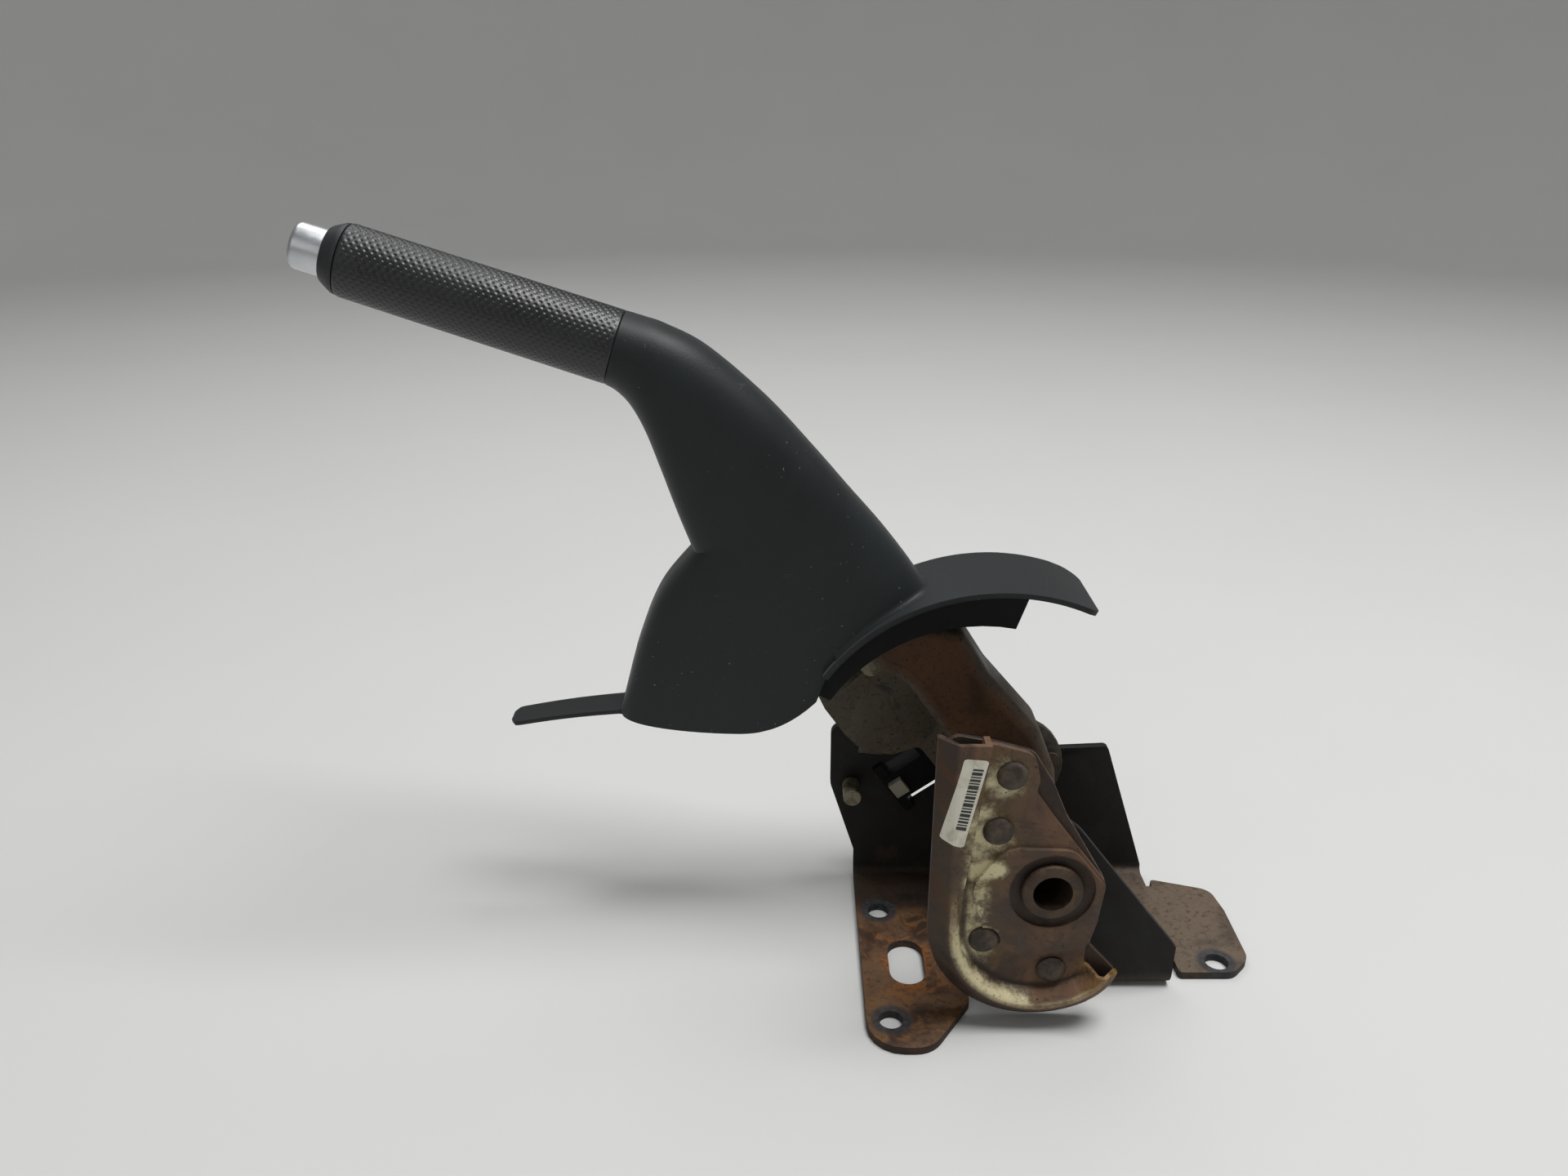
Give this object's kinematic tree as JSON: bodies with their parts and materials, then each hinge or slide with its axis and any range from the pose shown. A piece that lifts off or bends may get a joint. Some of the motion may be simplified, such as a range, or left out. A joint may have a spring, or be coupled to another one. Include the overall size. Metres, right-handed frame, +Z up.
{
  "type": "parking brake lever",
  "caption": "Hand-operated parking brake lever with push-button release, ratchet, cable quadrant on a torque tube, plastic shroud and a folded steel floor bracket.",
  "frame": {"origin": "on the floor plane under the bracket, straight below the pivot axis, in the middle plane of the lever", "axes": "+X from the handle towards the rear foot, +Y across the bracket away from the cable quadrant, +Z up"},
  "size_m": [0.429, 0.148, 0.339],
  "materials": {
    "base_paint": "worn black paint over rusty steel",
    "nylon": "natural nylon",
    "tool_steel": "dull phosphated steel",
    "zinc_pin": "dirty zinc",
    "yellow_zinc": "dirty yellow zinc",
    "rusty_steel": "rust-brown steel with pale corrosion",
    "pivot_steel": "rusty steel",
    "rivet_steel": "dark steel",
    "tube_steel": "plain steel",
    "grip_leather": "soft dimpled cover with a sheen",
    "shroud_plastic": "grained charcoal plastic",
    "collar_plastic": "matte dark plastic",
    "button_alloy": "satin aluminium",
    "switch_plastic": "black plastic",
    "plunger_plastic": "grey-beige plastic",
    "terminal_brass": "plain brass",
    "spring_steel": "spring wire"
  },
  "bodies": {
    "base": {"base_bracket": "base_paint", "pivot_bush_near": "nylon", "pivot_bush_far": "nylon", "ratchet_sector": "tool_steel", "ratchet_rivets": "rivet_steel", "stop_pin": "zinc_pin", "switch_housing": "switch_plastic", "switch_terminals": "terminal_brass", "plunger_spring": "spring_steel"},
    "lever": {"pivot_tube": "pivot_steel", "spacer_sleeve": "pivot_steel", "pivot_washers": "zinc_pin", "retaining_ring": "tool_steel", "arm_far_plate": "yellow_zinc", "arm_near_shell": "yellow_zinc", "handle_tube": "tube_steel", "grip_sleeve": "grip_leather", "grip_collar": "collar_plastic", "shroud": "shroud_plastic", "quadrant_outer_plate": "rusty_steel", "quadrant_inner_plate": "rusty_steel", "quadrant_rivets": "rivet_steel", "pawl_pin": "zinc_pin", "pawl_clip": "tool_steel", "spring_seat": "tube_steel", "button_spring": "spring_steel"},
    "button": {"release_button": "button_alloy", "release_rod": "tube_steel"},
    "pawl": {"pawl": "tool_steel"},
    "plunger": {"switch_plunger": "plunger_plastic"}
  },
  "joints": [
    {"name": "lever_pivot", "type": "hinge", "parent": "base", "child": "lever", "pos_m": [0, 0, 0.0715], "axis": [0, 1, 0], "range_deg": [-16.6, 23]},
    {"name": "button_press", "type": "slide", "parent": "lever", "child": "button", "axis": [0.95, 0, -0.3123], "range_m": [0, 0.006], "stiffness_N_per_m": 800, "springref_m": -0.008, "deforming": ["button_spring"]},
    {"name": "pawl_swing", "type": "hinge", "parent": "lever", "child": "pawl", "pos_m": [-0.07242, 0.0175, 0.13081], "axis": [0, 1, 0], "range_deg": [0, 15.4]},
    {"name": "plunger_press", "type": "slide", "parent": "base", "child": "plunger", "axis": [0, 1, 0], "range_m": [0, 0.0025], "stiffness_N_per_m": 400, "springref_m": -0.004, "deforming": ["plunger_spring"]}
  ],
  "couplings": [
    {"joint": "pawl_swing", "follows": "button_press", "rad_per_m": 44.375}
  ]
}
